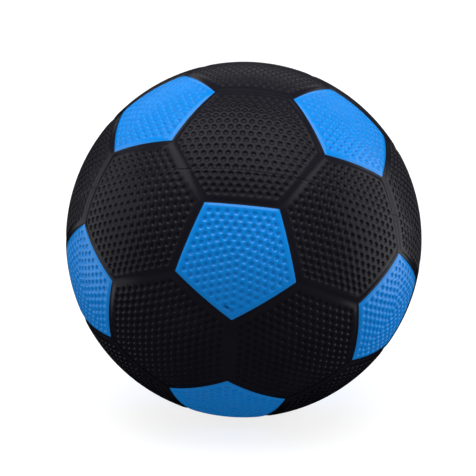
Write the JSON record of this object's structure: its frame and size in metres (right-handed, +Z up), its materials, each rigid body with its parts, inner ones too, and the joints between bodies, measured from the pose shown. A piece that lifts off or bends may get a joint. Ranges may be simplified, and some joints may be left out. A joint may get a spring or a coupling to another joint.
{
  "type": "playground ball",
  "caption": "Inflatable moulded rubber playground ball with dimpled black hexagon and blue pentagon panels and a needle valve.",
  "frame": {"origin": "centre of the ball", "axes": "+Z up as the ball lies, -Z to its resting point; the front pentagon is towards -Y, tipped 11 degrees up; the valve is at the upper back, towards +Y and +Z"},
  "size_m": [0.22, 0.22, 0.22],
  "materials": {
    "black_rubber": "satin, moulded dimples",
    "blue_rubber": "satin, moulded dimples",
    "carcass_rubber": "matte",
    "nylon_thread": "wound thread, rubberised",
    "bladder_rubber": "smooth matte butyl",
    "valve_rubber": "satin",
    "core_rubber": "smooth, oiled"
  },
  "bodies": {
    "ball": {"bladder": "bladder_rubber", "thread_winding": "nylon_thread", "carcass": "carcass_rubber", "valve_housing": "valve_rubber", "pentagon_valve": "blue_rubber", "pentagon_base": "blue_rubber", "pentagon_upper_1": "blue_rubber", "pentagon_upper_2": "blue_rubber", "pentagon_upper_3": "blue_rubber", "pentagon_upper_4": "blue_rubber", "pentagon_upper_5": "blue_rubber", "pentagon_lower_1": "blue_rubber", "pentagon_lower_2": "blue_rubber", "pentagon_lower_3": "blue_rubber", "pentagon_lower_4": "blue_rubber", "pentagon_lower_5": "blue_rubber", "hexagon_valve_1": "black_rubber", "hexagon_valve_2": "black_rubber", "hexagon_valve_3": "black_rubber", "hexagon_valve_4": "black_rubber", "hexagon_valve_5": "black_rubber", "hexagon_upper_1": "black_rubber", "hexagon_upper_2": "black_rubber", "hexagon_upper_3": "black_rubber", "hexagon_upper_4": "black_rubber", "hexagon_upper_5": "black_rubber", "hexagon_lower_1": "black_rubber", "hexagon_lower_2": "black_rubber", "hexagon_lower_3": "black_rubber", "hexagon_lower_4": "black_rubber", "hexagon_lower_5": "black_rubber", "hexagon_base_1": "black_rubber", "hexagon_base_2": "black_rubber", "hexagon_base_3": "black_rubber", "hexagon_base_4": "black_rubber", "hexagon_base_5": "black_rubber"},
    "valve_core": {"valve_core": "core_rubber"}
  },
  "joints": [
    {"name": "valve_core_slide", "type": "slide", "parent": "ball", "child": "valve_core", "axis": [0.0965, 0.6094, 0.7869], "range_m": [0, 0.022]}
  ]
}
